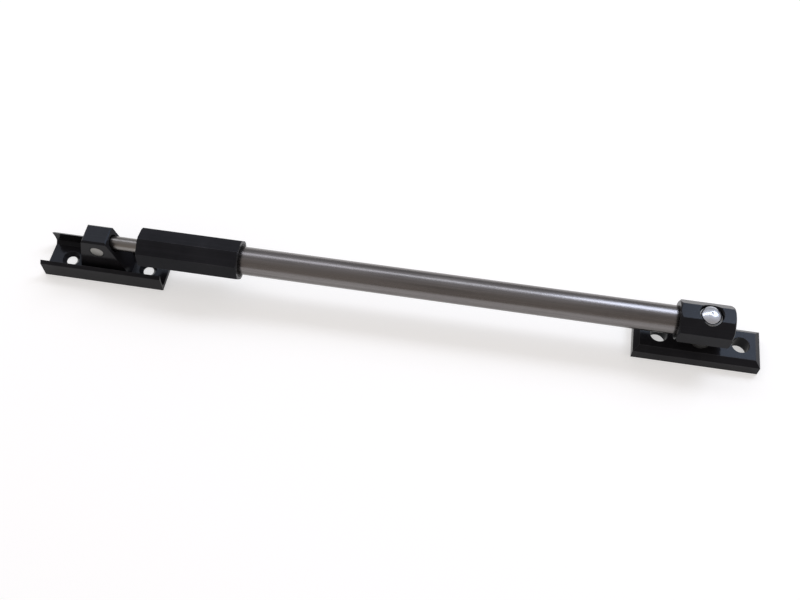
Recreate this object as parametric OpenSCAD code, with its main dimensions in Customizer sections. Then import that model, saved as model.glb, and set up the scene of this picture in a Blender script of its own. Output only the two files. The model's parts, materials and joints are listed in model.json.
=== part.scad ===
// Telescopic window stay: a rod slides and turns in a tube, an octagonal collar
// clamps it, and each end pivots on a bracket that is screwed down.
// X runs along the tube, Z is up. The origin is on the mounting face,
// under the pin of the frame plate. All sizes are in millimetres.

/* [Tube] */
// Outside diameter of the sliding tube
tube_d = 12; // [11:0.5:14]
// Wall of the sliding tube
tube_wall = 0.8; // [0.6:0.1:1]
// Whole length of the tube, from the block's socket to the gland
tube_l = 210; // [150:1:320]
// Height of the tube's axis above the mounting faces
axis_h = 19.2; // [18.8:0.1:24]
// Length of the rubber buffer in the closed end of the tube
end_buffer_l = 6; // [3:0.5:10]

/* [Rod and piston] */
// Diameter of the rod
rod_d = 6; // [5:0.5:6.5]
// Bare rod between the sash block and the collar in the stored pose
rod_show = 12.8; // [10:0.2:40]
// Travel left between the piston screw and the end buffer
spare_travel = 8.5; // [6:0.5:30]
// Diameter of the rod's spigot, which turns in the piston
spigot_d = 4; // [3.6:0.1:4.4]
// Length of the guide piston
piston_l = 12; // [8:0.5:20]
// Section of the drag ring in the piston's groove
drag_ring_d = 1.5; // [1.2:0.1:1.8]
// Length of the stop sleeve that meets the gland at full reach
stop_l = 9; // [4:0.5:20]
// Thickness of the washer that keeps the piston on its spigot
piston_washer_t = 0.8; // [0.5:0.1:1.5]
// Thread diameter of the piston screw
piston_screw_d = 2.5; // [2:0.1:2.8]
// Length of the piston screw under its head
piston_screw_l = 8; // [5:0.5:12]
// Height of the piston screw's head
piston_head_h = 2.2; // [1.8:0.1:3]

/* [Clamping gland] */
// Length of the gland's threaded part, outside the tube
gland_thread_l = 10; // [9:0.5:14]
// Length of the gland's spigot, inside the tube
gland_spigot_l = 11; // [9:0.5:16]
// Length of the collet's head, which stands out of the gland
collet_head_l = 4.6; // [3:0.2:7]
// Length of the collet's taper, which lies in the gland's seat
collet_taper_l = 4.4; // [3:0.2:7]
// Wall of the collet's head
collet_wall = 1.6; // [1.2:0.1:1.8]
// Wall of the collet at the tip of its taper
collet_tip_wall = 0.9; // [0.6:0.1:1.1]
// Width of each saw cut in the collet
collet_cut = 0.8; // [0.5:0.1:1.2]
// Number of saw cuts in the collet
collet_cuts = 4; // [3:1:6]
// Thickness of the thrust ring
thrust_ring_t = 1.2; // [0.8:0.1:2]
// Diameter of the spring pin that locks the gland in the tube
gland_pin_d = 2; // [1.5:0.1:2.5]

/* [Collar] */
// Collar width across its flats
collar_af = 16.3; // [16.3:0.1:18]
// Length of the skirt that covers the tube
skirt_l = 22; // [14:0.5:40]
// Thickness of the collar's nose in front of the thrust ring
nose_l = 5.6; // [4:0.2:8]
// Thickness of the lip that holds the wiper in the nose
nose_lip = 1.6; // [1:0.1:2.4]
// Turned chamfer on both ends of the collar
collar_chamfer = 0.4; // [0.2:0.1:1.2]
// Turn of the collar against the block's flats when clamped, in degrees
collar_set = 10.3; // [0:0.1:22.5]
// Wall of the glide bush in the collar's skirt
bush_wall = 0.9; // [0.7:0.1:1.1]
// Length of the glide bush
bush_l = 4; // [3:0.5:8]

/* [Pivot block] */
// Block width across its flats
block_af = 16.3; // [16:0.1:18]
// Length of the block
block_l = 22; // [20:0.5:30]
// Distance from the pin to the free end of the block
block_nose = 9.8; // [8:0.2:14]
// Depth of the socket that holds the tube
socket_l = 6; // [4:0.5:6.5]
// Turned chamfer at the tube end of the block
block_chamfer = 0.9; // [0.5:0.1:1.6]
// Turned radius at the free end of the block
block_round = 1.8; // [1:0.1:3]
// Thread diameter of the grub screw that holds the tube
grub_d = 4; // [3:0.5:4]
// Distance from the block's tube end to the grub screw
grub_in = 3; // [2.5:0.1:3.4]

/* [Pivot pin] */
// Shank diameter of the pivot pin
pin_d = 5; // [4:0.5:6]
// Diameter of the domed head
head_d = 8.1; // [7.6:0.1:9]
// Height of the head's straight side
head_side = 1.5; // [0.8:0.1:2]
// Rise of the dome over the head's side
dome_h = 1.3; // [0.8:0.1:1.8]
// Diameter of the counterbore round the head
counterbore_d = 9.9; // [9.6:0.1:10.2]
// Depth of the counterbore
counterbore_h = 3; // [2.4:0.1:3.4]
// Thickness of the washer under the head
head_washer_t = 0.5; // [0.3:0.1:0.8]
// Diameter of the spacer between block and plate
spacer_d = 9; // [8.6:0.2:12]
// Diameter of the pin's swaged tail
tail_d = 7; // [6.6:0.2:8]
// Diameter of the lathe centre mark in the dome
centre_mark_d = 1.2; // [0.6:0.1:1.6]

/* [Frame plate] */
// Length of the frame plate
plate_l = 52; // [50:1:80]
// Distance from the pin to the middle of the plate, away from the sash rail
plate_offset = -0.9; // [-1.2:0.1:1.2]
// Width of the frame plate
plate_w = 17.6; // [16.4:0.2:24]
// Thickness of the frame plate
plate_t = 7; // [5:0.1:8]
// Bevel round the plate's upper face
plate_bevel = 2.3; // [1:0.1:2.6]
// Diameter of the frame plate's screw holes
plate_hole_d = 7.3; // [5:0.1:8]
// Distance between the frame plate's screw holes
plate_hole_gap = 33.5; // [30:0.5:36]

/* [Sash rail] */
// Length of the sash rail
rail_l = 54; // [53:1:80]
// Width of the sash rail
rail_w = 17.4; // [16.8:0.2:22]
// Height of the sash rail
rail_h = 9.3; // [7:0.1:9.5]
// Thickness of the rail's floor
rail_floor = 1.8; // [1.8:0.1:2.4]
// Clear width between the rail's lips
lip_gap = 14.7; // [13.6:0.1:15]
// Wall of the rail beside its groove
rail_wall = 0.8; // [0.6:0.1:1.1]
// Outer bevel of the rail's lips
lip_bevel = 1.25; // [0.8:0.05:1.3]
// Fillet between the rail's floor and its walls
floor_fillet = 1.3; // [0.8:0.1:1.8]
// Diameter of the sash rail's screw holes
rail_hole_d = 4.6; // [4.2:0.1:5]
// Diameter of the countersink over each screw hole
rail_sink_d = 7.8; // [7:0.1:8]
// Distance between the sash rail's screw holes
rail_hole_gap = 35.5; // [34:0.5:40]

/* [Sash block] */
// Length of the sash block's top
saddle_top_l = 10.5; // [10:0.1:13]
// Width of the sash block
saddle_w = 9.6; // [9.2:0.1:11]
// Height of the sash block's top above the tube's axis
saddle_rise = 4.9; // [4.8:0.1:6]
// Slope of the sash block's ends from upright, in degrees
saddle_slope = 15; // [12:0.5:18]
// Chamfer along the top edges of the sash block
saddle_chamfer = 0.8; // [0.4:0.1:1]
// Drop of the cross pin's axis below the tube's axis
pivot_drop = 1.8; // [0.6:0.1:2.4]
// Diameter of the cross pin
cross_d = 6; // [5:0.1:6.4]
// Radius of the rod's eye round the cross pin
eye_r = 4.6; // [4.2:0.1:4.8]
// Thickness of each washer beside the eye
eye_washer_t = 0.4; // [0.3:0.05:0.5]
// Tip of the sash block that raises its collar end, in degrees
tip_up = 7; // [2:0.5:7.5]
// Tip of the sash block that lowers its collar end, in degrees
tip_down = 2; // [1:0.5:7.5]
// Thread diameter of the screws that hold the sash block
saddle_screw_d = 3; // [2.5:0.1:3]
// Length of the screws that hold the sash block
saddle_screw_l = 7; // [6:0.5:7.5]
// Distance between the screws that hold the sash block
saddle_screw_gap = 15.2; // [14.8:0.1:15.6]

/* [Hidden] */
// Clearance of a shaft that runs in its bore, and of seated pieces
fit = 0.05;
// Clearance of pieces that pass each other freely
gap = 0.35;
// Overcut that keeps cutting faces off the faces they cut
cut = 1;
// Extra radius that keeps a turned envelope off an octagon's corners
skim = 0.15;
$fn = 72;

tube_r = tube_d / 2;
bore_r = tube_r - tube_wall;
rod_r = rod_d / 2;
slide_r = rod_r + 2 * fit;
pass_r = rod_r + gap + fit;

block_x1 = block_nose;
block_x0 = block_nose - block_l;
block_top = axis_h + block_af / 2;
block_bottom = axis_h - block_af / 2;
tube_x1 = block_x0 + socket_l;
tube_x0 = tube_x1 - tube_l;
grub_x = block_x0 + grub_in;
end_buffer_x0 = tube_x1 - end_buffer_l;

gland_x0 = tube_x0 - gland_thread_l;
gland_x1 = tube_x0 + gland_spigot_l;
gland_pin_x = tube_x0 + gland_spigot_l / 2;
collet_x0 = gland_x0 - collet_head_l;
collet_x1 = gland_x0 + collet_taper_l;
collet_r = rod_r + collet_wall;
collet_tip_r = rod_r + collet_tip_wall;
seat_gap = 0.12;
thrust_x0 = collet_x0 - thrust_ring_t;
cavity_r = tube_r - 0.2;
thrust_r = cavity_r - 0.2;
wiper_r = (rod_r + thrust_r) / 2;

collar_x0 = thrust_x0 - nose_l;
collar_x1 = tube_x0 + skirt_l;
collar_turned_r = collar_af / 2 / cos(22.5) + skim;
block_turned_r = block_af / 2 / cos(22.5) + skim;
bush_x0 = collar_x1 - bush_l;
bush_r = tube_r + 2 * fit + bush_wall;

piston_screw_x1 = end_buffer_x0 - spare_travel;
piston_washer_x1 = piston_screw_x1 - piston_head_h;
piston_x1 = piston_washer_x1 - piston_washer_t - fit;
piston_x0 = piston_x1 - piston_l;
rod_shoulder_x = piston_x0 - fit;
piston_r = bore_r - 2 * fit;
drag_ring_in = drag_ring_d / 2 + fit;

saddle_top = axis_h + saddle_rise;
saddle_half = saddle_top_l / 2;
saddle_face = saddle_half + saddle_rise * tan(saddle_slope);
saddle_h = saddle_top - rail_floor;
saddle_foot = saddle_half + saddle_h * tan(saddle_slope);
pivot_x = collar_x0 - rod_show - saddle_face;
pivot_z = axis_h - pivot_drop;
slot_w = rod_d + 2 * gap;
eye_side_gap = 0.15;
eye_t = slot_w - 2 * (eye_washer_t + eye_side_gap);
eye_reach = eye_r + 0.4;
pocket_r = eye_r + 0.45;
rod_x0 = pivot_x + eye_reach;

head_z = block_top - counterbore_h + head_washer_t;
spacer_h = block_bottom - plate_t;
tail_h = (tail_d - pin_d) / 2;

// Puts what is drawn along +Z on the tube's axis, running towards +X from x
module on_axis(x) {
    translate([x, 0, axis_h])
        rotate([0, 90, 0])
            children();
}

// A straight bar or bore along the tube's axis
module bar(x0, x1, r) {
    on_axis(x0)
        cylinder(r = r, h = x1 - x0);
}

// A ring along the tube's axis
module ring(x0, x1, r_out, r_in) {
    difference() {
        bar(x0, x1, r_out);
        bar(x0 - cut, x1 + cut, r_in);
    }
}

// Octagonal bar with one flat facing up
module octagon_bar(x0, x1, across) {
    on_axis(x0)
        rotate([0, 0, 22.5])
            cylinder(r = across / 2 / cos(22.5), h = x1 - x0, $fn = 8);
}

// Turned envelope with a chamfer at each end, which trims a bar's corners
module turned_ends(x0, x1, r, chamfer) {
    on_axis(x0)
        rotate_extrude()
            polygon([[0, 0], [r - chamfer, 0], [r, chamfer],
                     [r, x1 - x0 - chamfer], [r - chamfer, x1 - x0], [0, x1 - x0]]);
}

// Hexagon socket, across its flats, sunk along -Z from the origin
module hex_socket(across, depth) {
    translate([0, 0, -depth])
        cylinder(r = across / 2 / cos(30), h = depth + cut, $fn = 6);
}

// Frame end

module frame_plate() {
    half_l = plate_l / 2;
    half_w = plate_w / 2;
    shoulder = plate_t - plate_bevel;
    color("DimGray")
        difference() {
            intersection() {
                translate([plate_offset, half_w, 0])
                    rotate([90, 0, 0])
                        linear_extrude(plate_w)
                            polygon([[-half_l, 0], [half_l, 0], [half_l, shoulder],
                                     [half_l - plate_bevel, plate_t],
                                     [plate_bevel - half_l, plate_t], [-half_l, shoulder]]);
                translate([plate_offset - half_l, 0, 0])
                    rotate([90, 0, 90])
                        linear_extrude(plate_l)
                            polygon([[-half_w, 0], [half_w, 0], [half_w, shoulder],
                                     [half_w - plate_bevel, plate_t],
                                     [plate_bevel - half_w, plate_t], [-half_w, shoulder]]);
            }
            for (side = [-1, 1])
                translate([side * plate_hole_gap / 2, 0, -cut])
                    cylinder(d = plate_hole_d, h = plate_t + 2 * cut);
            translate([0, 0, -cut])
                cylinder(r = pin_d / 2 + fit, h = plate_t + 2 * cut);
            rotate_extrude()
                polygon([[0, -cut], [tail_d / 2 + fit + cut, -cut],
                         [pin_d / 2 + fit, tail_h], [0, tail_h]]);
        }
}

module pivot_pin() {
    r = head_d / 2;
    shank_r = pin_d / 2;
    // The dome is a cap of the sphere that passes through the head's rim
    dome_r = (r * r + dome_h * dome_h) / (2 * dome_h);
    rim_z = head_z + head_side;
    color("Silver")
        difference() {
            union() {
                translate([0, 0, tail_h])
                    cylinder(r = shank_r, h = head_z - tail_h);
                rotate_extrude()
                    polygon([[0, 0], [tail_d / 2, 0], [shank_r, tail_h], [0, tail_h]]);
                translate([0, 0, head_z])
                    cylinder(r = r, h = head_side);
                intersection() {
                    translate([0, 0, rim_z + dome_h - dome_r])
                        sphere(r = dome_r);
                    translate([0, 0, rim_z])
                        cylinder(r = r, h = dome_h + cut);
                }
            }
            translate([0, 0, rim_z + dome_h - centre_mark_d / 2])
                cylinder(r1 = 0, r2 = centre_mark_d, h = centre_mark_d);
        }
}

module head_washer() {
    color("White")
        translate([0, 0, head_z - head_washer_t])
            difference() {
                cylinder(r = counterbore_d / 2 - gap, h = head_washer_t);
                translate([0, 0, -cut])
                    cylinder(r = pin_d / 2 + 2 * fit, h = head_washer_t + 2 * cut);
            }
}

module pivot_spacer() {
    color("DarkSlateGray")
        translate([0, 0, plate_t])
            difference() {
                cylinder(d = spacer_d, h = spacer_h);
                translate([0, 0, -cut])
                    cylinder(r = pin_d / 2 + 2 * fit, h = spacer_h + 2 * cut);
            }
}

module pivot_block() {
    length = block_l;
    r = block_turned_r;
    chamfer = block_chamfer + skim;
    round_r = block_round + skim;
    color("DarkSlateGray")
        difference() {
            intersection() {
                octagon_bar(block_x0, block_x1, block_af);
                union() {
                    on_axis(block_x0)
                        rotate_extrude()
                            polygon([[0, 0], [r - chamfer, 0], [r, chamfer],
                                     [r, length - round_r], [0, length - round_r]]);
                    bar(block_x1 - round_r, block_x1, r - round_r);
                    on_axis(block_x1 - round_r)
                        rotate_extrude()
                            intersection() {
                                translate([r - round_r, 0])
                                    circle(r = round_r);
                                square([r, round_r]);
                            }
                }
            }
            bar(block_x0 - cut, tube_x1, tube_r + fit);
            translate([0, 0, block_bottom - cut])
                cylinder(r = pin_d / 2 + fit, h = block_af + 2 * cut);
            translate([0, 0, block_top - counterbore_h])
                cylinder(d = counterbore_d, h = counterbore_h + cut);
            translate([grub_x, 0, block_bottom - cut])
                cylinder(r = grub_d / 2 + fit, h = block_af / 2);
        }
}

module grub_screw() {
    bottom = block_bottom + 0.3;
    tip_z = axis_h - bore_r - 0.1;
    color("Gray")
        translate([grub_x, 0, 0])
            difference() {
                translate([0, 0, bottom])
                    cylinder(d = grub_d, h = tip_z - bottom);
                translate([0, 0, bottom])
                    rotate([180, 0, 0])
                        hex_socket(grub_d / 2, grub_d / 2.5);
            }
}

// Tube and clamping gland

module tube() {
    color("Gainsboro")
        difference() {
            ring(tube_x0, tube_x1, tube_r, bore_r);
            translate([grub_x, 0, axis_h - tube_r - cut])
                cylinder(r = grub_d / 2 + fit, h = tube_r);
            translate([gland_pin_x, 0, axis_h - tube_r - cut])
                cylinder(r = gland_pin_d / 2 + fit, h = tube_r);
        }
}

module end_buffer() {
    color("Black")
        difference() {
            bar(end_buffer_x0, tube_x1, bore_r - fit);
            translate([grub_x, 0, axis_h - tube_r])
                cylinder(r = grub_d / 2 + gap, h = tube_wall + gap);
        }
}

module gland() {
    mouth_r = collet_r + seat_gap;
    throat_r = collet_tip_r + seat_gap;
    color("Goldenrod")
        difference() {
            union() {
                bar(gland_x0, tube_x0, tube_r);
                bar(tube_x0, gland_x1, bore_r - fit);
            }
            bar(gland_x0 - cut, gland_x1 + cut, slide_r);
            on_axis(gland_x0)
                cylinder(r1 = mouth_r, r2 = throat_r, h = collet_taper_l);
            bar(collet_x1, collet_x1 + gap, throat_r);
            bar(gland_x0 - cut, gland_x0, mouth_r);
            translate([gland_pin_x, 0, axis_h - bore_r - cut])
                cylinder(r = gland_pin_d / 2 + fit, h = cut + bore_r - slide_r - gap);
        }
}

module gland_pin() {
    foot = axis_h - tube_r + fit;
    color("Gray")
        translate([gland_pin_x, 0, foot])
            cylinder(d = gland_pin_d, h = tube_r - slide_r - gap - 2 * fit);
}

module collet() {
    reach = collet_x1 - collet_x0;
    color("WhiteSmoke")
        difference() {
            union() {
                bar(collet_x0, gland_x0, collet_r);
                on_axis(gland_x0)
                    cylinder(r1 = collet_r, r2 = collet_tip_r, h = collet_taper_l);
            }
            bar(collet_x0 - cut, collet_x1 + cut, rod_r + fit);
            for (i = [0 : collet_cuts - 1])
                on_axis(collet_x0 + reach / 4)
                    rotate([0, 0, i * 360 / collet_cuts])
                        translate([0, -collet_cut / 2, 0])
                            cube([collet_r + cut, collet_cut, reach]);
        }
}

module thrust_ring() {
    color("Gray")
        ring(thrust_x0, collet_x0, thrust_r, pass_r);
}

// Collar

module collar() {
    color("DarkSlateGray")
        difference() {
            translate([0, 0, axis_h])
                rotate([-collar_set, 0, 0])
                    translate([0, 0, -axis_h])
                        intersection() {
                            octagon_bar(collar_x0, collar_x1, collar_af);
                            turned_ends(collar_x0, collar_x1, collar_turned_r,
                                        collar_chamfer + skim);
                        }
            bar(collar_x0 - cut, collar_x1 + cut, pass_r);
            bar(collar_x0 + nose_lip, thrust_x0 + cut, wiper_r + fit);
            bar(thrust_x0, collar_x1, cavity_r);
            bar(gland_x0 - gap, collar_x1, tube_r + fit);
            bar(tube_x0 - gap, collar_x1 + cut, tube_r + gap);
            bar(bush_x0, collar_x1 + cut, bush_r + fit);
        }
}

module rod_wiper() {
    color("Black")
        ring(collar_x0 + nose_lip, thrust_x0 - fit, wiper_r, rod_r + 2 * fit);
}

module glide_bush() {
    color("DimGray")
        ring(bush_x0, collar_x1 - 2 * fit, bush_r, tube_r + 2 * fit);
}

// Rod and piston

module guide_piston() {
    groove_r = piston_r + fit - drag_ring_d;
    groove_x0 = piston_x0 + piston_l / 2 - drag_ring_in;
    color("WhiteSmoke")
        difference() {
            ring(piston_x0, piston_x1, piston_r, spigot_d / 2 + fit);
            ring(groove_x0, groove_x0 + 2 * drag_ring_in, piston_r + cut, groove_r - fit);
        }
}

module drag_ring() {
    color("Black")
        on_axis(piston_x0 + piston_l / 2)
            rotate_extrude()
                translate([piston_r + fit - drag_ring_d / 2, 0])
                    circle(d = drag_ring_d, $fn = 32);
}

module rod() {
    color("Gainsboro")
        difference() {
            union() {
                bar(rod_x0, rod_shoulder_x, rod_r);
                bar(rod_shoulder_x, piston_x1 + fit, spigot_d / 2);
            }
            bar(piston_x1 - piston_screw_l, piston_x1 + cut, piston_screw_d / 2 + fit);
        }
}

module stop_sleeve() {
    color("Black")
        ring(rod_shoulder_x - stop_l, rod_shoulder_x, bore_r - gap, rod_r + fit);
}

module piston_washer() {
    color("Silver")
        ring(piston_x1 + fit, piston_washer_x1, bore_r - gap, piston_screw_d / 2 + fit);
}

module piston_screw() {
    head_r = piston_screw_d;
    shank_x0 = piston_washer_x1 - piston_screw_l;
    color("Gray")
        difference() {
            union() {
                bar(piston_washer_x1, piston_screw_x1, head_r);
                bar(shank_x0, piston_washer_x1, piston_screw_d / 2);
            }
            on_axis(piston_screw_x1)
                hex_socket(piston_screw_d * 0.8, piston_head_h / 2);
        }
}

// Sash end

// Puts what is drawn along +Z on the cross pin's axis, running towards -Y
module on_pivot(y) {
    translate([pivot_x, y, pivot_z])
        rotate([90, 0, 0])
            children();
}

module rod_eye() {
    half = eye_t / 2;
    color("Silver")
        difference() {
            intersection() {
                union() {
                    on_pivot(half)
                        cylinder(r = eye_r, h = eye_t);
                    bar(pivot_x, rod_x0, rod_r);
                }
                translate([pivot_x - eye_r - cut, -half, 0])
                    cube([eye_r + eye_reach + cut, eye_t, saddle_top]);
            }
            on_pivot(half + cut)
                cylinder(r = cross_d / 2 + fit, h = eye_t + 2 * cut);
        }
}

module eye_washers() {
    washer_r = eye_r - 0.2;
    color("White")
        for (y = [slot_w / 2, eye_washer_t - slot_w / 2])
            difference() {
                on_pivot(y)
                    cylinder(r = washer_r, h = eye_washer_t);
                on_pivot(y + cut)
                    cylinder(r = cross_d / 2 + fit, h = eye_washer_t + 2 * cut);
            }
}

module cross_pin() {
    edge = 0.3;
    r = cross_d / 2;
    color("Silver")
        on_pivot(saddle_w / 2)
            rotate_extrude()
                polygon([[0, 0], [r - edge, 0], [r, edge],
                         [r, saddle_w - edge], [r - edge, saddle_w], [0, saddle_w]]);
}

// Room that the rod sweeps inside the sash block, one cylinder at each limit
// of the tip and a wedge between their axes
module rod_sweep() {
    reach = saddle_foot + cut;
    translate([pivot_x, 0, pivot_z]) {
        for (tip = [tip_up, -tip_down])
            rotate([0, tip, 0])
                translate([0, 0, pivot_drop])
                    rotate([0, 90, 0])
                        cylinder(d = slot_w, h = reach / cos(tip) + rod_r);
        translate([0, slot_w / 2, 0])
            rotate([90, 0, 0])
                linear_extrude(slot_w)
                    polygon([[0, pivot_drop], [reach, pivot_drop + reach * tan(tip_down)],
                             [reach, pivot_drop - reach * tan(tip_up)]]);
    }
}

module sash_block() {
    half_w = saddle_w / 2;
    c = saddle_chamfer;
    c_run = c * tan(saddle_slope);
    color("DarkSlateGray")
        difference() {
            intersection() {
                translate([pivot_x, half_w, rail_floor])
                    rotate([90, 0, 0])
                        linear_extrude(saddle_w)
                            polygon([[-saddle_foot, 0], [saddle_foot, 0],
                                     [saddle_half + c_run / 2, saddle_h - c / 2],
                                     [saddle_half - c / 2, saddle_h],
                                     [c / 2 - saddle_half, saddle_h],
                                     [-saddle_half - c_run / 2, saddle_h - c / 2]]);
                translate([pivot_x - saddle_foot, 0, rail_floor])
                    rotate([90, 0, 90])
                        linear_extrude(2 * saddle_foot)
                            polygon([[-half_w, 0], [half_w, 0], [half_w, saddle_h - c],
                                     [half_w - c, saddle_h], [c - half_w, saddle_h],
                                     [-half_w, saddle_h - c]]);
            }
            rod_sweep();
            on_pivot(slot_w / 2)
                cylinder(r = pocket_r, h = slot_w);
            translate([pivot_x - pocket_r, -slot_w / 2, rail_floor - cut])
                cube([2 * pocket_r, slot_w, pivot_z - rail_floor + cut]);
            on_pivot(half_w + cut)
                cylinder(r = cross_d / 2 + fit / 2, h = saddle_w + 2 * cut);
            for (side = [-1, 1])
                translate([pivot_x + side * saddle_screw_gap / 2, 0, rail_floor - cut])
                    cylinder(r = saddle_screw_d / 2 + fit / 2, h = saddle_screw_l + cut);
        }
}

module saddle_screws() {
    r = saddle_screw_d / 2;
    color("Gray")
        for (side = [-1, 1])
            translate([pivot_x + side * saddle_screw_gap / 2, 0, 0])
                difference() {
                    union() {
                        translate([0, 0, r])
                            cylinder(r = r, h = saddle_screw_l - r);
                        translate([0, 0, fit])
                            cylinder(r1 = 2 * r - fit, r2 = r, h = r - fit);
                    }
                    translate([0, 0, fit])
                        rotate([180, 0, 0])
                            hex_socket(r, r * 0.8);
                }
}

module sash_rail() {
    half_w = rail_w / 2;
    lip = lip_gap / 2;
    inner = half_w - rail_wall;
    lip_flat = half_w - lip_bevel;
    undercut_z = rail_h * 0.62;
    fillet_z = rail_floor + floor_fillet;
    screw_r = saddle_screw_d / 2;
    sink_h = (rail_sink_d - rail_hole_d) / 2;
    side = [[half_w, 0], [half_w, rail_h - lip_bevel], [lip_flat, rail_h], [lip, rail_h],
            [inner, undercut_z], [inner, fillet_z], [inner - floor_fillet, rail_floor]];
    mirrored = [for (i = [len(side) - 1 : -1 : 0]) [-side[i][0], side[i][1]]];
    color("DimGray")
        difference() {
            translate([pivot_x - rail_l / 2, 0, 0])
                rotate([90, 0, 90])
                    linear_extrude(rail_l)
                        polygon(concat(side, mirrored));
            for (end = [-1, 1])
                translate([pivot_x + end * rail_hole_gap / 2, 0, 0]) {
                    translate([0, 0, -cut])
                        cylinder(d = rail_hole_d, h = rail_floor + 2 * cut);
                    translate([0, 0, rail_floor - sink_h])
                        cylinder(d1 = rail_hole_d, d2 = rail_sink_d, h = sink_h);
                    translate([0, 0, rail_floor])
                        cylinder(d = rail_sink_d, h = cut);
                }
            for (end = [-1, 1])
                translate([pivot_x + end * saddle_screw_gap / 2, 0, 0]) {
                    translate([0, 0, -cut])
                        cylinder(r = screw_r + 2 * fit, h = rail_floor + 2 * cut);
                    cylinder(r1 = 2 * screw_r + fit, r2 = screw_r, h = screw_r + fit);
                    translate([0, 0, -cut])
                        cylinder(r = 2 * screw_r + fit, h = cut);
                }
        }
}

frame_plate();
pivot_pin();
head_washer();
pivot_spacer();
pivot_block();
grub_screw();
tube();
end_buffer();
gland();
gland_pin();
collet();
thrust_ring();
collar();
rod_wiper();
glide_bush();
guide_piston();
drag_ring();
rod();
stop_sleeve();
piston_washer();
piston_screw();
rod_eye();
eye_washers();
cross_pin();
sash_block();
saddle_screws();
sash_rail();
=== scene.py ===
"""Telescopic window stay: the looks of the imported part, its studio and its camera.

Lengths are in metres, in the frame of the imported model: +X runs along the tube towards
the frame plate, +Z points up, and the origin lies under the pivot pin.
"""
import json
import logging
import math
from collections.abc import Iterable, Sequence
from dataclasses import dataclass, field
from enum import Enum
from typing import Any

import bmesh
import bpy
from mathutils import Euler, Matrix, Vector

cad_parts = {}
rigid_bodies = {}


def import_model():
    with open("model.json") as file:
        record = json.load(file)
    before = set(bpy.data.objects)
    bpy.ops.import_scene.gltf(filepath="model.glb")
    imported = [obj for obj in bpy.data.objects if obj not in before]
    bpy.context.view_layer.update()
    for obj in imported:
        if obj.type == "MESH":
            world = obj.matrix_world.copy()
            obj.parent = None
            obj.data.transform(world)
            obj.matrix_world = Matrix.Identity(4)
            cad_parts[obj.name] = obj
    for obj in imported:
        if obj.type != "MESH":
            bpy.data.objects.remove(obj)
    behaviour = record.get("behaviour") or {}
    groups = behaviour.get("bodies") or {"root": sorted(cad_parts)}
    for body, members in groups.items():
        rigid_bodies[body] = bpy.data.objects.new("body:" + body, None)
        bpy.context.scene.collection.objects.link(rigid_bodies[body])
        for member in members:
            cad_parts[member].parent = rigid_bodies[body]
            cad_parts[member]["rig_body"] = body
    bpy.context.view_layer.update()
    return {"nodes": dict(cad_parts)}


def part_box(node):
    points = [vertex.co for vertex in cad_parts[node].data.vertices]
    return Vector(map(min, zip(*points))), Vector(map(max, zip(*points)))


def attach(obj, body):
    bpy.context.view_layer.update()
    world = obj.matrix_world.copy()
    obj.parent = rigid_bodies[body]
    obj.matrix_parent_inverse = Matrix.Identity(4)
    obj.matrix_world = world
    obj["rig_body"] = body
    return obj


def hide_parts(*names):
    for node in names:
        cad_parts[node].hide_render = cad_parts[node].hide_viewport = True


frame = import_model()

Colour = tuple[float, float, float]
Place = tuple[float, float, float]
Band = tuple[float, float]
Outline = Sequence[tuple[float, float]]

log = logging.getLogger("window_stay")


class Along(Enum):
    """The direction in which a turned piece's axis runs from its start."""

    X = Matrix.Rotation(math.radians(90), 4, "Y")
    Y = Matrix.Rotation(math.radians(-90), 4, "X")
    UP = Matrix.Identity(4)
    DOWN = Matrix.Rotation(math.radians(180), 4, "X")


# Shader arithmetic


class Signal:
    """A number on its way through a material, joined to others by plain arithmetic."""

    def __init__(self, graph: "Graph", socket: bpy.types.NodeSocket) -> None:
        """Wraps one output socket.

        Args:
            graph: The material's graph, which adds the nodes.
            socket: The output that carries the number.
        """
        self.graph = graph
        self.socket = socket

    def _join(self, operation: str, first: Any, second: Any = 0.0) -> "Signal":
        """Adds one Math node.

        Args:
            operation: The Math node's operation.
            first: A signal or a number.
            second: A signal or a number.

        Returns:
            The node's result.
        """
        return self.graph.signal("ShaderNodeMath", {"operation": operation}, {0: first, 1: second})

    def __add__(self, other: Any) -> "Signal":
        """Returns self + other."""
        return self._join("ADD", self, other)

    def __radd__(self, other: Any) -> "Signal":
        """Returns other + self."""
        return self._join("ADD", other, self)

    def __sub__(self, other: Any) -> "Signal":
        """Returns self - other."""
        return self._join("SUBTRACT", self, other)

    def __rsub__(self, other: Any) -> "Signal":
        """Returns other - self."""
        return self._join("SUBTRACT", other, self)

    def __mul__(self, other: Any) -> "Signal":
        """Returns self * other."""
        return self._join("MULTIPLY", self, other)

    def __rmul__(self, other: Any) -> "Signal":
        """Returns other * self."""
        return self._join("MULTIPLY", other, self)

    def mixed(self, other: "Signal", share: float) -> "Signal":
        """Returns self with a share of another signal in its place."""
        return self * (1 - share) + other * share

    def swing(self, spread: float) -> "Signal":
        """Returns a noise from 0 to 1 as a swing of that spread about 0."""
        return (self - 0.5) * spread

    def at_most(self, other: Any) -> "Signal":
        """Returns the smaller of self and other."""
        return self._join("MINIMUM", self, other)

    def sine(self) -> "Signal":
        """Returns the sine of self in radians."""
        return self._join("SINE", self)

    def root(self) -> "Signal":
        """Returns the square root of self."""
        return self._join("SQRT", self)

    def step(self, low: float, high: float) -> "Signal":
        """Returns 0 below low and 1 above high, with a smooth rise between.

        Args:
            low: Where the rise starts.
            high: Where the rise ends.
        """
        return self.graph.signal(
            "ShaderNodeMapRange",
            {"interpolation_type": "SMOOTHSTEP", "clamp": True},
            {"Value": self, "From Min": low, "From Max": high},
        )


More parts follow.
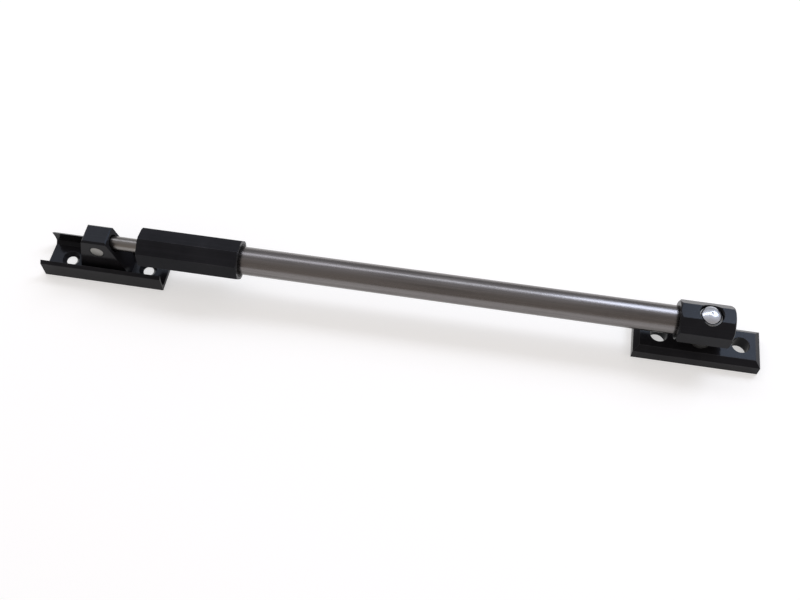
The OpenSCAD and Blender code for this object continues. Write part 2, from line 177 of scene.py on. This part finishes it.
class Graph:
    """The nodes of one material or world."""

    def __init__(self, owner: bpy.types.Material | bpy.types.World) -> None:
        """Starts an empty graph.

        Args:
            owner: The material or world that the nodes belong to.
        """
        owner.use_nodes = True
        self.tree = owner.node_tree
        self.tree.nodes.clear()

    def node(
        self, kind: str, settings: dict[str, Any] | None = None, inputs: dict[Any, Any] | None = None
    ) -> bpy.types.Node:
        """Adds any node.

        Args:
            kind: The node's type.
            settings: Its settings by name, with a ramp's stops under "stops".
            inputs: Values or links by socket name or number.

        Returns:
            The node.
        """
        node = self.tree.nodes.new(kind)
        for name, value in (settings or {}).items():
            if name == "stops":
                self._set_stops(node, value)
            else:
                setattr(node, name, value)
        for name, value in (inputs or {}).items():
            self._feed(node.inputs[name], value)
        return node

    @staticmethod
    def _set_stops(node: bpy.types.Node, stops: Sequence[tuple[float, Colour]]) -> None:
        """Gives a colour ramp its stops.

        Args:
            node: The ramp's node.
            stops: Position and colour of each stop, in order.
        """
        ramp = node.color_ramp.elements
        while len(ramp) < len(stops):
            ramp.new(0.5)
        for element, (position, colour) in zip(ramp, stops):
            element.position = position
            element.color = (*colour, 1.0)

    def _feed(self, socket: bpy.types.NodeSocket, value: Any) -> None:
        """Links a socket or sets its value.

        Args:
            socket: The input socket.
            value: A signal, an output socket, a number, a colour or a vector.
        """
        if isinstance(value, Signal):
            value = value.socket
        if isinstance(value, bpy.types.NodeSocket):
            self.tree.links.new(value, socket)
        elif socket.type == "RGBA" and len(value) == 3:
            socket.default_value = (*value, 1.0)
        else:
            socket.default_value = value

    def signal(
        self,
        kind: str,
        settings: dict[str, Any] | None = None,
        inputs: dict[Any, Any] | None = None,
        output: int | str = 0,
    ) -> Signal:
        """Adds any node and returns one of its outputs as a number.

        Args:
            kind: The node's type.
            settings: Its settings by name.
            inputs: Values or links by socket name or number.
            output: Which output is wanted.

        Returns:
            The output.
        """
        return Signal(self, self.node(kind, settings, inputs).outputs[output])

    def here(
        self, scale: Place = (1.0, 1.0, 1.0), shift: Place = (0.0, 0.0, 0.0)
    ) -> bpy.types.NodeSocket:
        """Returns the object's own coordinates, scaled and then shifted.

        Args:
            scale: Factor along each axis.
            shift: Distance along each axis, in the scaled coordinates.
        """
        place = self.node("ShaderNodeTexCoord").outputs["Object"]
        inputs = {"Vector": place, "Location": shift, "Scale": scale}
        return self.node("ShaderNodeMapping", None, inputs).outputs["Vector"]

    def split(self, vector: bpy.types.NodeSocket) -> tuple[Signal, Signal, Signal]:
        """Returns the three parts of a vector."""
        x, y, z = self.node("ShaderNodeSeparateXYZ", None, {"Vector": vector}).outputs
        return Signal(self, x), Signal(self, y), Signal(self, z)

    def noise(
        self, vector: bpy.types.NodeSocket, detail: float = 2.0, rough: float = 0.5
    ) -> Signal:
        """Returns smooth noise from 0 to 1 at the scale that the vector already has.

        Args:
            vector: Coordinates, one unit for each grain.
            detail: How many finer layers are added.
            rough: How strong the finer layers are.
        """
        settings = {"noise_dimensions": "3D"}
        inputs = {"Vector": vector, "Scale": 1.0, "Detail": detail, "Roughness": rough}
        return self.signal("ShaderNodeTexNoise", settings, inputs)

    def blend(self, share: Any, first: Any, second: Any) -> bpy.types.NodeSocket:
        """Mixes two colours.

        Args:
            share: 0 gives the first and 1 the second.
            first: A colour or a link.
            second: A colour or a link.

        Returns:
            The mixed colour.
        """
        settings = {"data_type": "RGBA", "blend_type": "MIX"}
        return self.node("ShaderNodeMix", settings, {0: share, 6: first, 7: second}).outputs[2]

    def bump(self, height: Signal, depth: float, strength: float = 1.0) -> bpy.types.NodeSocket:
        """Returns a normal tilted by a height.

        Args:
            height: The height, from 0 to 1.
            depth: The depth that 1 stands for.
            strength: How much of the tilt is used.
        """
        inputs = {"Height": height, "Distance": depth, "Strength": strength}
        return self.node("ShaderNodeBump", None, inputs).outputs["Normal"]

    def surface(self, **sockets: Any) -> None:
        """Adds the shader and joins it to the output.

        Args:
            **sockets: Values or links by socket name, with _ for each space.
        """
        inputs = {name.replace("_", " "): value for name, value in sockets.items()}
        shader = self.node("ShaderNodeBsdfPrincipled", None, inputs)
        self.node("ShaderNodeOutputMaterial", None, {"Surface": shader.outputs["BSDF"]})


# Finishes


def shaded(colour: Colour, share: float) -> Colour:
    """Returns a colour made darker or lighter by a factor."""
    return (colour[0] * share, colour[1] * share, colour[2] * share)


@dataclass(frozen=True)
class Finish:
    """A surface finish, which becomes one material."""

    label: str
    colour: Colour
    roughness: float

    def material(self) -> bpy.types.Material:
        """Returns the material, made the first time that it is asked for."""
        known = bpy.data.materials.get(self.label)
        if known is None:
            known = bpy.data.materials.new(self.label)
            self.paint(Graph(known))
        return known

    def paint(self, graph: Graph) -> None:
        """Adds the finish's nodes.

        Args:
            graph: The empty graph of its material.
        """
        raise NotImplementedError


@dataclass(frozen=True)
class Anodised(Finish):
    """Black anodised extrusion: faint die lines along X, a fine matt grain, and corners painted lighter,
    partly as rubbed wear and partly as a painted edge highlight.
    """

    # The lighter corner colour and its share: partly rubbed wear, partly a painted edge highlight.
    worn_and_highlit_colour: Colour = (0.10, 0.10, 0.108)
    wear_and_highlight: float = 0.8
    dark: float = 0.72
    pale: float = 1.35
    contrast: Band = (0.25, 0.75)
    line_share: float = 0.4
    worn_and_highlit_band: Band = (0.35, 0.7)
    worn_and_highlit_least: float = 0.3
    speck_spread: float = 0.12
    cloud_spread: float = 0.08
    polish: float = 0.08
    shine: float = 0.086
    sheen: Colour = (0.77, 0.875, 1.0)
    line_pitch: float = 0.00035
    lines_per_metre: float = 18.0
    clouds_per_metre: float = 90.0
    grain: float = 0.00012
    speck_share: float = 0.45
    relief: float = 0.000007
    relief_share: float = 0.25

    def paint(self, graph: Graph) -> None:
        """Adds the finish's nodes.

        Args:
            graph: The empty graph of its material.
        """
        across = 1 / self.line_pitch
        along = self.lines_per_metre
        line = graph.noise(graph.here((along, across, across)), detail=3.0, rough=0.6)
        speck = graph.noise(graph.here((1 / self.grain,) * 3), rough=0.6)
        cloud = graph.noise(graph.here((self.clouds_per_metre,) * 3), detail=3.0, rough=0.55)
        # Corners are painted lighter in patches, partly as rubbed wear and partly as a painted edge
        # highlight; the same corners are also a little smoother.
        corner_mask = graph.signal("ShaderNodeAttribute", {"attribute_name": "corner"}, None, "Fac")
        patchy = cloud.step(*self.worn_and_highlit_band) * (1 - self.worn_and_highlit_least) + self.worn_and_highlit_least
        worn_and_highlit_edges = (corner_mask * patchy).at_most(1.0)
        mottle = cloud.mixed(line, self.line_share).step(*self.contrast)
        skin = graph.blend(mottle, shaded(self.colour, self.dark), shaded(self.colour, self.pale))
        tone = graph.blend(worn_and_highlit_edges * self.wear_and_highlight, skin, self.worn_and_highlit_colour)
        matt = self.roughness + speck.swing(self.speck_spread) + cloud.swing(self.cloud_spread)
        height = line.mixed(speck, self.speck_share)
        graph.surface(
            Base_Color=tone,
            Roughness=matt - worn_and_highlit_edges * self.polish,
            Specular_IOR_Level=self.shine,
            Specular_Tint=self.sheen,
            Normal=graph.bump(height, self.relief, self.relief_share),
        )


@dataclass(frozen=True)
class Ground(Finish):
    """Steel bar or tube, drawn and polished along X: long fine lines and a soft drift."""

    line_pitch: float = 0.0006
    line_length: float = 0.045
    streak_pitch: float = 0.0018
    streak_length: float = 0.16
    mark_scale: Place = (420.0, 900.0, 900.0)
    drift_scale: Place = (28.0, 160.0, 160.0)
    shares: tuple[float, ...] = (0.25, 0.45, 0.1, 0.2)
    contrast: Band = (0.38, 0.58)
    dull: float = 0.76
    line_spread: float = 0.10
    drift_spread: float = 0.06
    relief: float = 0.000004
    relief_share: float = 0.3

    def paint(self, graph: Graph) -> None:
        """Adds the finish's nodes.

        Args:
            graph: The empty graph of its material.
        """
        across = 1 / self.line_pitch
        line = graph.noise(graph.here((1 / self.line_length, across, across)), rough=0.55)
        wide = 1 / self.streak_pitch
        streak = graph.noise(
            graph.here((1 / self.streak_length, wide, wide)), detail=3.0, rough=0.6
        )
        mark = graph.noise(graph.here(self.mark_scale), rough=0.6)
        drift = graph.noise(graph.here(self.drift_scale))
        first, *others = (share * layer for share, layer in zip(self.shares, (line, streak, mark, drift)))
        shade = sum(others, first).step(*self.contrast)
        graph.surface(
            Base_Color=graph.blend(shade, shaded(self.colour, self.dull), self.colour),
            Metallic=1.0,
            Roughness=self.roughness + line.swing(self.line_spread) + drift.swing(self.drift_spread),
            Normal=graph.bump(line, self.relief, self.relief_share),
        )


@dataclass(frozen=True)
class Turned(Finish):
    """Bright turned steel: fine rings about an axis through its centre."""

    centre: Place = (0.0, 0.0, 0.0)
    about: Along = Along.UP
    ring_pitch: float = 0.00022
    specks_per_metre: float = 5200.0
    blotches_per_metre: float = 900.0
    wobble: float = 1.5
    blotch_share: float = 0.5
    contrast: Band = (0.2, 0.7)
    dull: float = 0.8
    speck_spread: float = 0.10
    blotch_spread: float = 0.08
    speck_share: float = 0.3
    relief: float = 0.000004
    relief_share: float = 0.6

    def paint(self, graph: Graph) -> None:
        """Adds the finish's nodes.

        Args:
            graph: The empty graph of its material.
        """
        x, y, z = graph.split(graph.here(shift=tuple(-part for part in self.centre)))
        across = (x, z) if self.about is Along.Y else (x, y)
        away = (across[0] * across[0] + across[1] * across[1]).root()
        speck = graph.noise(graph.here((self.specks_per_metre,) * 3), rough=0.6)
        blotch = graph.noise(graph.here((self.blotches_per_metre,) * 3), detail=3.0, rough=0.6)
        turns = away * (2 * math.pi / self.ring_pitch)
        ring = (turns + self.wobble * blotch).sine() * 0.5 + 0.5
        shade = ring.mixed(blotch, self.blotch_share).step(*self.contrast)
        rough = self.roughness + speck.swing(self.speck_spread) + blotch.swing(self.blotch_spread)
        height = ring.mixed(speck, self.speck_share)
        graph.surface(
            Base_Color=graph.blend(shade, shaded(self.colour, self.dull), self.colour),
            Metallic=1.0,
            Roughness=rough,
            Normal=graph.bump(height, self.relief, self.relief_share),
        )


@dataclass(frozen=True)
class Plated(Finish):
    """Plain metal with a plated or machined skin: a light mottle and fine pits."""

    mottle: float = 0.0009
    pits_per_metre: float = 7000.0
    contrast: Band = (0.3, 0.7)
    dull: float = 0.78
    spread: float = 0.14
    relief: float = 0.000005
    relief_share: float = 0.5

    def paint(self, graph: Graph) -> None:
        """Adds the finish's nodes.

        Args:
            graph: The empty graph of its material.
        """
        mottle = graph.noise(graph.here((1 / self.mottle,) * 3), detail=3.0, rough=0.6)
        pit = graph.noise(graph.here((self.pits_per_metre,) * 3), rough=0.6)
        shade = mottle.step(*self.contrast)
        graph.surface(
            Base_Color=graph.blend(shade, shaded(self.colour, self.dull), self.colour),
            Metallic=1.0,
            Roughness=self.roughness + mottle.swing(self.spread),
            Normal=graph.bump(pit, self.relief, self.relief_share),
        )


@dataclass(frozen=True)
class Moulded(Finish):
    """Plastic or rubber: a soft mottle and a fine moulded grain."""

    grain: float = 0.00025
    clouds_per_metre: float = 220.0
    grain_share: float = 0.4
    contrast: Band = (0.3, 0.7)
    dull: float = 0.8
    spread: float = 0.12
    shine: float = 0.2
    relief: float = 0.000008
    relief_share: float = 0.6

    def paint(self, graph: Graph) -> None:
        """Adds the finish's nodes.

        Args:
            graph: The empty graph of its material.
        """
        grain = graph.noise(graph.here((1 / self.grain,) * 3), rough=0.6)
        cloud = graph.noise(graph.here((self.clouds_per_metre,) * 3))
        mottle = cloud.mixed(grain, self.grain_share).step(*self.contrast)
        graph.surface(
            Base_Color=graph.blend(mottle, shaded(self.colour, self.dull), self.colour),
            Roughness=self.roughness + cloud.swing(self.spread),
            Specular_IOR_Level=self.shine,
            Normal=graph.bump(grain, self.relief, self.relief_share),
        )


BLACK_ALLOY = Anodised("black_anodised_alloy", (0.0170, 0.0165, 0.0186), 0.15)
TUBE_STEEL = Ground("ground_tube_steel", (0.213, 0.200, 0.197), 0.27)
ROD_STEEL = Ground("ground_rod_steel", (0.246, 0.234, 0.222), 0.29)
PLAIN_STEEL = Plated("zinc_plated_steel", (0.56, 0.57, 0.58), 0.34)
BRASS = Plated("turned_brass", (0.78, 0.58, 0.27), 0.28)
ACETAL = Moulded("natural_acetal", (0.80, 0.80, 0.77), 0.42)
BLACK_NYLON = Moulded("black_nylon", (0.007, 0.007, 0.008), 0.5)
BLACK_RUBBER = Moulded("black_rubber", (0.012, 0.012, 0.012), 0.68, grain=0.0002)


# Ways of making a piece

# Points nearer than these distances become one: where a spin closes, after a bevel, in a
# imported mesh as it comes, and once its flat faces are whole.
SEAM = 0.0000005
DOUBLES = 0.000001
SPLIT_POINTS = 0.000002
SHORT_EDGES = 0.00003
# Faces that meet at less than the first angle are one face, and from the second on a corner
# is sharp.
FLAT_BELOW = math.radians(0.5)
SHARP_FROM = math.radians(32)


def ease(bm: bmesh.types.BMesh, width: float, segments: int, over: float = 28.0) -> None:
    """Breaks the sharp corners of a mesh and marks them for the finish.

    Args:
        bm: The mesh.
        width: How far the rounding reaches from each corner.
        segments: How many steps round it.
        over: The least angle of a corner, in degrees.
    """
    rounded = bm.faces.layers.int.new("rounded")
    sharp = [edge for edge in bm.edges if edge.calc_face_angle(0.0) > math.radians(over)]
    made = bmesh.ops.bevel(
        bm, geom=sharp, offset=width, offset_type="OFFSET", segments=segments, profile=0.5,
        affect="EDGES", clamp_overlap=True, material=-1,
    )
    for face in made["faces"]:
        face[rounded] = 1
    bmesh.ops.remove_doubles(bm, verts=bm.verts, dist=DOUBLES)
    # The corner layer marks the rounded corners, which the anodised finish paints lighter: partly wear,
    # partly a painted edge highlight.
    corner = bm.verts.layers.float.new("corner")
    for vert in bm.verts:
        vert[corner] = float(all(face[rounded] for face in vert.link_faces))
    bm.faces.layers.int.remove(rounded)


def finish_piece(
    bm: bmesh.types.BMesh, name: str, look: Finish, nodes: Sequence[str]
) -> bpy.types.Object:
    """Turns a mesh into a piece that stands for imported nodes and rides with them.

    Args:
        bm: The mesh, in place. It is freed.
        name: The piece's name.
        look: Its finish.
        nodes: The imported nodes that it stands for.

    Returns:
        The piece.
    """
    mesh = bpy.data.meshes.new(name)
    bm.to_mesh(mesh)
    bm.free()
    mesh.shade_smooth()
    mesh.set_sharp_from_angle(angle=SHARP_FROM)
    mesh.materials.append(look.material())
    piece = bpy.data.objects.new(name, mesh)
    bpy.context.scene.collection.objects.link(piece)
    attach(piece, frame["nodes"][nodes[0]]["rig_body"])
    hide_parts(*nodes)
    log.info("%s: %d faces, for %s", name, len(mesh.polygons), ", ".join(nodes))
    return piece


@dataclass
class Machined:
    """A sawn, milled or extruded piece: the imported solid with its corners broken."""

    node: str
    look: Finish
    corner: float = 0.0002
    segments: int = 3

    def build(self) -> bpy.types.Object:
        """Makes the piece.

        Returns:
            The piece, in place of its node.
        """
        bm = bmesh.new()
        bm.from_mesh(frame["nodes"][self.node].data)
        bmesh.ops.remove_doubles(bm, verts=bm.verts, dist=SPLIT_POINTS)
        bmesh.ops.dissolve_limit(
            bm, angle_limit=FLAT_BELOW, use_dissolve_boundaries=False,
            verts=bm.verts, edges=bm.edges, delimit=set(),
        )
        bmesh.ops.remove_doubles(bm, verts=bm.verts, dist=SHORT_EDGES)
        ease(bm, self.corner, self.segments)
        piece = finish_piece(bm, f"{self.node}_eased", self.look, [self.node])
        flat = piece.modifiers.new("flat_faces", "WEIGHTED_NORMAL")
        flat.keep_sharp = True
        return piece


@dataclass
class Lathe:
    """Spins outlines about one axis. An outline lists (distance along the axis, radius)."""

    start: Place
    along: Along
    steps: int = 96
    parts: list[tuple[Outline, bool]] = field(default_factory=list)

    def turn(self, outline: Outline, ring: bool = False) -> "Lathe":
        """Adds an outline.

        Args:
            outline: Its points. One that is no ring starts and ends on the axis.
            ring: Whether its last point joins its first.

        Returns:
            The lathe itself, so that calls can follow each other.
        """
        self.parts.append((outline, ring))
        return self

    def spin(self, corner: float = 0.00012, segments: int = 2) -> bmesh.types.BMesh:
        """Spins all the outlines.

        Args:
            corner: How far the corners are broken.
            segments: How many steps round each corner.

        Returns:
            The mesh, in place.
        """
        bm = bmesh.new()
        for outline, ring in self.parts:
            verts = [bm.verts.new((radius, 0.0, far)) for far, radius in outline]
            ends = verts[1:] + verts[:1] if ring else verts[1:]
            edges = [bm.edges.new(pair) for pair in zip(verts, ends)]
            bmesh.ops.spin(
                bm, geom=verts + edges, cent=(0, 0, 0), axis=(0, 0, 1), dvec=(0, 0, 0),
                angle=2 * math.pi, steps=self.steps, use_merge=True, use_duplicate=False,
            )
        bmesh.ops.remove_doubles(bm, verts=bm.verts, dist=SEAM)
        bmesh.ops.recalc_face_normals(bm, faces=bm.faces)
        if corner > 0:
            ease(bm, corner, segments)
        matrix = Matrix.Translation(self.start) @ self.along.value
        bmesh.ops.transform(bm, matrix=matrix, verts=bm.verts)
        return bm


# Sub-assemblies


@dataclass
class SubAssembly:
    """A group of pieces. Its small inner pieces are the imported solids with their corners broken."""

    axis_h: float = 0.0192
    inner_edge: float = 0.00006

    def build(self) -> Iterable[bpy.types.Object]:
        """Builds every piece of the sub-assembly."""
        raise NotImplementedError

    def inner(self, looks: dict[str, Finish]) -> Iterable[bpy.types.Object]:
        """Builds the inner pieces.

        Args:
            looks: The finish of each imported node.

        Returns:
            The pieces, one after the other.
        """
        for node, look in looks.items():
            yield Machined(node, look, corner=self.inner_edge, segments=1).build()


@dataclass
class FrameEnd(SubAssembly):
    """The frame plate with the pin, washer and spacer that stand on it."""

    pin_d: float = 0.005
    tail_d: float = 0.007
    head_d: float = 0.0081
    head_side: float = 0.0015
    dome_rise: float = 0.0013
    mark_d: float = 0.0012
    spacer_bore: float = 0.0052
    plate_edge: float = 0.00018
    pin_edge: float = 0.00018
    spacer_edge: float = 0.00012
    dome_steps: int = 10
    bright: Finish = Turned("bright_pin_steel", (0.70, 0.73, 0.79), 0.23)

    def build(self) -> Iterable[bpy.types.Object]:
        """Builds every piece of the sub-assembly."""
        yield self.plate()
        yield self.pin()
        yield self.spacer()
        yield self.washer()

    def plate(self) -> bpy.types.Object:
        """Builds the frame plate."""
        return Machined("frame_plate", BLACK_ALLOY, corner=self.plate_edge).build()

    def pin(self) -> bpy.types.Object:
        """Builds the pivot pin, its domed head and its swaged tail.

        Returns:
            The piece.
        """
        low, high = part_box("pivot_pin")
        top = high[2] - low[2]
        r = self.head_d / 2
        rim = top - self.dome_rise
        seat = rim - self.head_side
        ball = (r * r + self.dome_rise ** 2) / (2 * self.dome_rise)
        reach = math.asin(r / ball)
        mark = self.mark_d / 2
        dome = []
        for i in range(self.dome_steps):
            angle = reach * (1 - i / self.dome_steps)
            if ball * math.sin(angle) > mark:
                dome.append((top - ball * (1 - math.cos(angle)), ball * math.sin(angle)))
        lip = top - ball + math.sqrt(ball * ball - mark * mark)
        flare = (self.tail_d - self.pin_d) / 2
        outline = [
            (0.0, 0.0), (0.0, self.tail_d / 2), (flare, self.pin_d / 2), (seat, self.pin_d / 2),
            (seat, r), *dome, (lip, mark), (lip - mark, 0.0),
        ]
        bm = Lathe((0.0, 0.0, low[2]), Along.UP).turn(outline).spin(self.pin_edge, 3)
        return finish_piece(bm, "pivot_pin_turned", self.bright, ["pivot_pin"])

    def bush(self, low: Place, high: Place) -> Lathe:
        """Outlines a plain ring round the pin's shank.

        Args:
            low: The low corner of the ring's box.
            high: The high corner of the ring's box.

        Returns:
            The lathe, ready to spin it.
        """
        outer, bore = (high[0] - low[0]) / 2, self.spacer_bore / 2
        tall = high[2] - low[2]
        outline = [(0.0, outer), (tall, outer), (tall, bore), (0.0, bore)]
        return Lathe((0.0, 0.0, low[2]), Along.UP).turn(outline, ring=True)

    def spacer(self) -> bpy.types.Object:
        """Builds the spacer bush between the block and the plate."""
        bm = self.bush(*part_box("pivot_spacer")).spin(self.spacer_edge, 2)
        return finish_piece(bm, "pivot_spacer_turned", BLACK_NYLON, ["pivot_spacer"])

    def washer(self) -> bpy.types.Object:
        """Builds the washer under the pin's head."""
        bm = self.bush(*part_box("head_washer")).spin(self.inner_edge, 1)
        return finish_piece(bm, "head_washer_turned", ACETAL, ["head_washer"])


@dataclass
class Barrel(SubAssembly):
    """The tube with its block, its gland and what is fixed in them."""

    wall: float = 0.0008
    tube_steps: int = 160
    block_edge: float = 0.00022

    def build(self) -> Iterable[bpy.types.Object]:
        """Builds every piece of the sub-assembly."""
        yield self.tube()
        yield Machined("pivot_block", BLACK_ALLOY, corner=self.block_edge).build()
        yield from self.inner({
            "grub_screw": PLAIN_STEEL, "end_buffer": BLACK_RUBBER,
            "gland": BRASS, "gland_pin": PLAIN_STEEL,
        })

    def tube(self) -> bpy.types.Object:
        """Builds the sliding tube.

        Returns:
            The piece.
        """
        low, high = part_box("tube")
        outer = (high[1] - low[1]) / 2
        inner = outer - self.wall
        length = high[0] - low[0]
        ring = [(0.0, outer), (length, outer), (length, inner), (0.0, inner)]
        lathe = Lathe((low[0], 0.0, self.axis_h), Along.X, steps=self.tube_steps)
        bm = lathe.turn(ring, ring=True).spin()
        return finish_piece(bm, "tube_turned", TUBE_STEEL, ["tube"])


@dataclass
class Clamp(SubAssembly):
    """The collar, the collet that it presses on the rod, and what lies between them."""

    collar_edge: float = 0.00022

    def build(self) -> Iterable[bpy.types.Object]:
        """Builds every piece of the sub-assembly."""
        yield Machined("collar", BLACK_ALLOY, corner=self.collar_edge).build()
        yield from self.inner({
            "collet": ACETAL, "thrust_ring": PLAIN_STEEL,
            "glide_bush": BLACK_NYLON, "rod_wiper": BLACK_RUBBER,
        })


@dataclass
class Piston(SubAssembly):
    """The piston that guides the rod's inner end, with its drag ring."""

    def build(self) -> Iterable[bpy.types.Object]:
        """Builds every piece of the sub-assembly."""
        yield from self.inner({"guide_piston": ACETAL, "drag_ring": BLACK_RUBBER})


@dataclass
class SlidingRod(SubAssembly):
    """The rod and what is fixed to its ends."""

    spigot_d: float = 0.004
    spigot_l: float = 0.0121

    def build(self) -> Iterable[bpy.types.Object]:
        """Builds every piece of the sub-assembly."""
        yield self.rod()
        yield from self.inner({
            "stop_sleeve": BLACK_RUBBER, "piston_washer": PLAIN_STEEL,
            "piston_screw": PLAIN_STEEL, "rod_eye": PLAIN_STEEL,
        })

    def rod(self) -> bpy.types.Object:
        """Builds the rod.

        Returns:
            The piece.
        """
        low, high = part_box("rod")
        r = (high[1] - low[1]) / 2
        length = high[0] - low[0]
        shoulder = length - self.spigot_l
        spigot = self.spigot_d / 2
        outline = [(0.0, 0.0), (0.0, r), (shoulder, r), (shoulder, spigot), (length, spigot), (length, 0.0)]
        bm = Lathe((low[0], 0.0, self.axis_h), Along.X).turn(outline).spin()
        return finish_piece(bm, "rod_turned", ROD_STEEL, ["rod"])


@dataclass
class SashEnd(SubAssembly):
    """The sash rail, the block on it and the cross pin."""

    pin_edge: float = 0.0003
    pin_corner: float = 0.00008
    pin_colour: Colour = (0.31, 0.305, 0.29)
    pin_roughness: float = 0.38
    rail_edge: float = 0.00016
    block_edge: float = 0.0003

    def build(self) -> Iterable[bpy.types.Object]:
        """Builds every piece of the sub-assembly."""
        yield Machined("sash_rail", BLACK_ALLOY, corner=self.rail_edge).build()
        yield Machined("sash_block", BLACK_ALLOY, corner=self.block_edge).build()
        yield self.cross_pin()
        yield from self.inner({"saddle_screws": PLAIN_STEEL, "eye_washers": ACETAL})

    def cross_pin(self) -> bpy.types.Object:
        """Builds the pin that carries the rod's eye.

        Returns:
            The piece.
        """
        low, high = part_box("cross_pin")
        r = (high[0] - low[0]) / 2
        length = high[1] - low[1]
        centre = ((low[0] + high[0]) / 2, low[1], (low[2] + high[2]) / 2)
        face, far = r - self.pin_edge, length - self.pin_edge
        outline = [(0.0, 0.0), (0.0, face), (self.pin_edge, r), (far, r), (length, face), (length, 0.0)]
        bm = Lathe(centre, Along.Y).turn(outline).spin(self.pin_corner, 2)
        look = Turned(
            "cross_pin_steel", self.pin_colour, self.pin_roughness, centre=centre, about=Along.Y
        )
        return finish_piece(bm, "cross_pin_turned", look, ["cross_pin"])


# Studio


@dataclass(frozen=True)
class Lamp:
    """A soft rectangular lamp that points at a place."""

    name: str
    place: Place
    target: Place
    size: tuple[float, float]
    power: float
    colour: Colour

    def hang(self) -> bpy.types.Object:
        """Adds the lamp.

        Returns:
            The lamp's object.
        """
        data = bpy.data.lights.new(self.name, "AREA")
        data.shape = "RECTANGLE"
        data.size, data.size_y = self.size
        data.energy = self.power
        data.color = self.colour
        lamp = bpy.data.objects.new(self.name, data)
        lamp.location = self.place
        aim = Vector(self.target) - Vector(self.place)
        lamp.rotation_euler = aim.to_track_quat("-Z", "Y").to_euler()
        bpy.context.scene.collection.objects.link(lamp)
        return lamp


@dataclass
class Studio:
    """The pale floor, the soft light and the camera."""

    camera_place: Place = (-0.08741, -0.22201, 0.36088)
    camera_turn: Place = (32.3591, 0.2679, 9.4937)
    lens: float = 44.1945
    film_width: float = 36.0
    nearest: float = 0.01
    floor_colour: Colour = (0.665, 0.640, 0.612)
    floor_size: float = 3.0
    floor_drop: float = 0.0001
    front_wall: Colour = (0.46, 0.415, 0.385)
    rear_wall: Colour = (0.40, 0.395, 0.405)
    front_high: Colour = (0.40, 0.37, 0.35)
    rear_high: Colour = (0.70, 0.70, 0.74)
    rear_band: Band = (0.15, 0.85)
    high_band: Band = (0.1, 0.95)
    floor_glow: float = 0.505
    lamps: tuple[Lamp, ...] = (
        Lamp("right_strip", (0.12, 0.46, 0.84), (0.12, 0.0, 0.02), (0.86, 0.20), 1.45, (0.84, 0.90, 1.0)),
        Lamp("left_strip", (-0.76, 0.48, 0.84), (-0.76, 0.0, 0.02), (0.9, 0.28), 1.7, (0.86, 0.90, 1.0)),
        Lamp("back_window", (0.43, 0.54, 0.78), (0.0, 0.0, 0.02), (0.46, 0.44), 3.1, (0.70, 0.80, 1.0)),
    )

    def build(self) -> None:
        """Builds the whole studio."""
        self.shoot()
        self.floor()
        self.sky()
        for lamp in self.lamps:
            lamp.hang()
        view = bpy.context.scene.view_settings
        view.view_transform = "Standard"

    def shoot(self) -> bpy.types.Object:
        """Adds the camera at the photograph's place.

        Returns:
            The camera.
        """
        data = bpy.data.cameras.new("camera")
        data.sensor_fit = "HORIZONTAL"
        data.sensor_width = self.film_width
        data.lens = self.lens
        data.clip_start = self.nearest
        camera = bpy.data.objects.new("camera", data)
        camera.location = self.camera_place
        camera.rotation_euler = Euler([math.radians(turn) for turn in self.camera_turn], "XYZ")
        bpy.context.scene.collection.objects.link(camera)
        bpy.context.scene.camera = camera
        return camera

    @staticmethod
    def seen(graph: Graph) -> Signal:
        """Returns 1 for rays that show the background: seen, mirrored or let through.

        Args:
            graph: The graph to add to.
        """
        path = graph.node("ShaderNodeLightPath")
        camera = Signal(graph, path.outputs["Is Camera Ray"])
        glossy = Signal(graph, path.outputs["Is Glossy Ray"])
        through = Signal(graph, path.outputs["Is Transmission Ray"])
        return (camera + glossy + through).at_most(1.0)

    def floor(self) -> bpy.types.Object:
        """Adds the floor, which keeps the shadow.

        Returns:
            The floor.
        """
        bm = bmesh.new()
        bmesh.ops.create_grid(bm, x_segments=1, y_segments=1, size=self.floor_size)
        mesh = bpy.data.meshes.new("floor")
        bm.to_mesh(mesh)
        bm.free()
        material = bpy.data.materials.new("pale_floor")
        graph = Graph(material)
        matt = graph.node("ShaderNodeBsdfDiffuse", None, {"Color": self.floor_colour})
        glow = graph.node(
            "ShaderNodeEmission", None,
            {"Color": (1.0, 1.0, 1.0), "Strength": self.seen(graph) * self.floor_glow},
        )
        both = graph.node("ShaderNodeAddShader", None, {0: matt.outputs[0], 1: glow.outputs[0]})
        graph.node("ShaderNodeOutputMaterial", None, {"Surface": both.outputs[0]})
        mesh.materials.append(material)
        floor = bpy.data.objects.new("floor", mesh)
        floor.location = (0.0, 0.0, -self.floor_drop)
        bpy.context.scene.collection.objects.link(floor)
        return floor

    def sky(self) -> None:
        """Lights the world: brownish in front, grey behind and brightest high up at the back."""
        world = bpy.data.worlds.new("room")
        bpy.context.scene.world = world
        graph = Graph(world)
        way = graph.node("ShaderNodeTexCoord").outputs["Generated"]
        _, y, z = graph.split(way)
        rear = (y * 0.5 + 0.5).step(*self.rear_band)
        walls = graph.blend(rear, self.front_wall, self.rear_wall)
        high = graph.blend(rear, self.front_high, self.rear_high)
        room = graph.blend(z.step(*self.high_band), walls, high)
        light = graph.node("ShaderNodeBackground", None, {"Color": room, "Strength": 1.0})
        graph.node("ShaderNodeOutputWorld", None, {"Surface": light.outputs[0]})


def main() -> None:
    """Dresses the part, sets up the studio and logs each piece."""
    logging.basicConfig(level=logging.INFO, format="%(name)s: %(message)s")
    Studio().build()
    for assembly in (FrameEnd(), Barrel(), Clamp(), Piston(), SlidingRod(), SashEnd()):
        for piece in assembly.build():
            log.info("%s done: %s", type(assembly).__name__, piece.name)


if __name__ == "__main__":
    main()
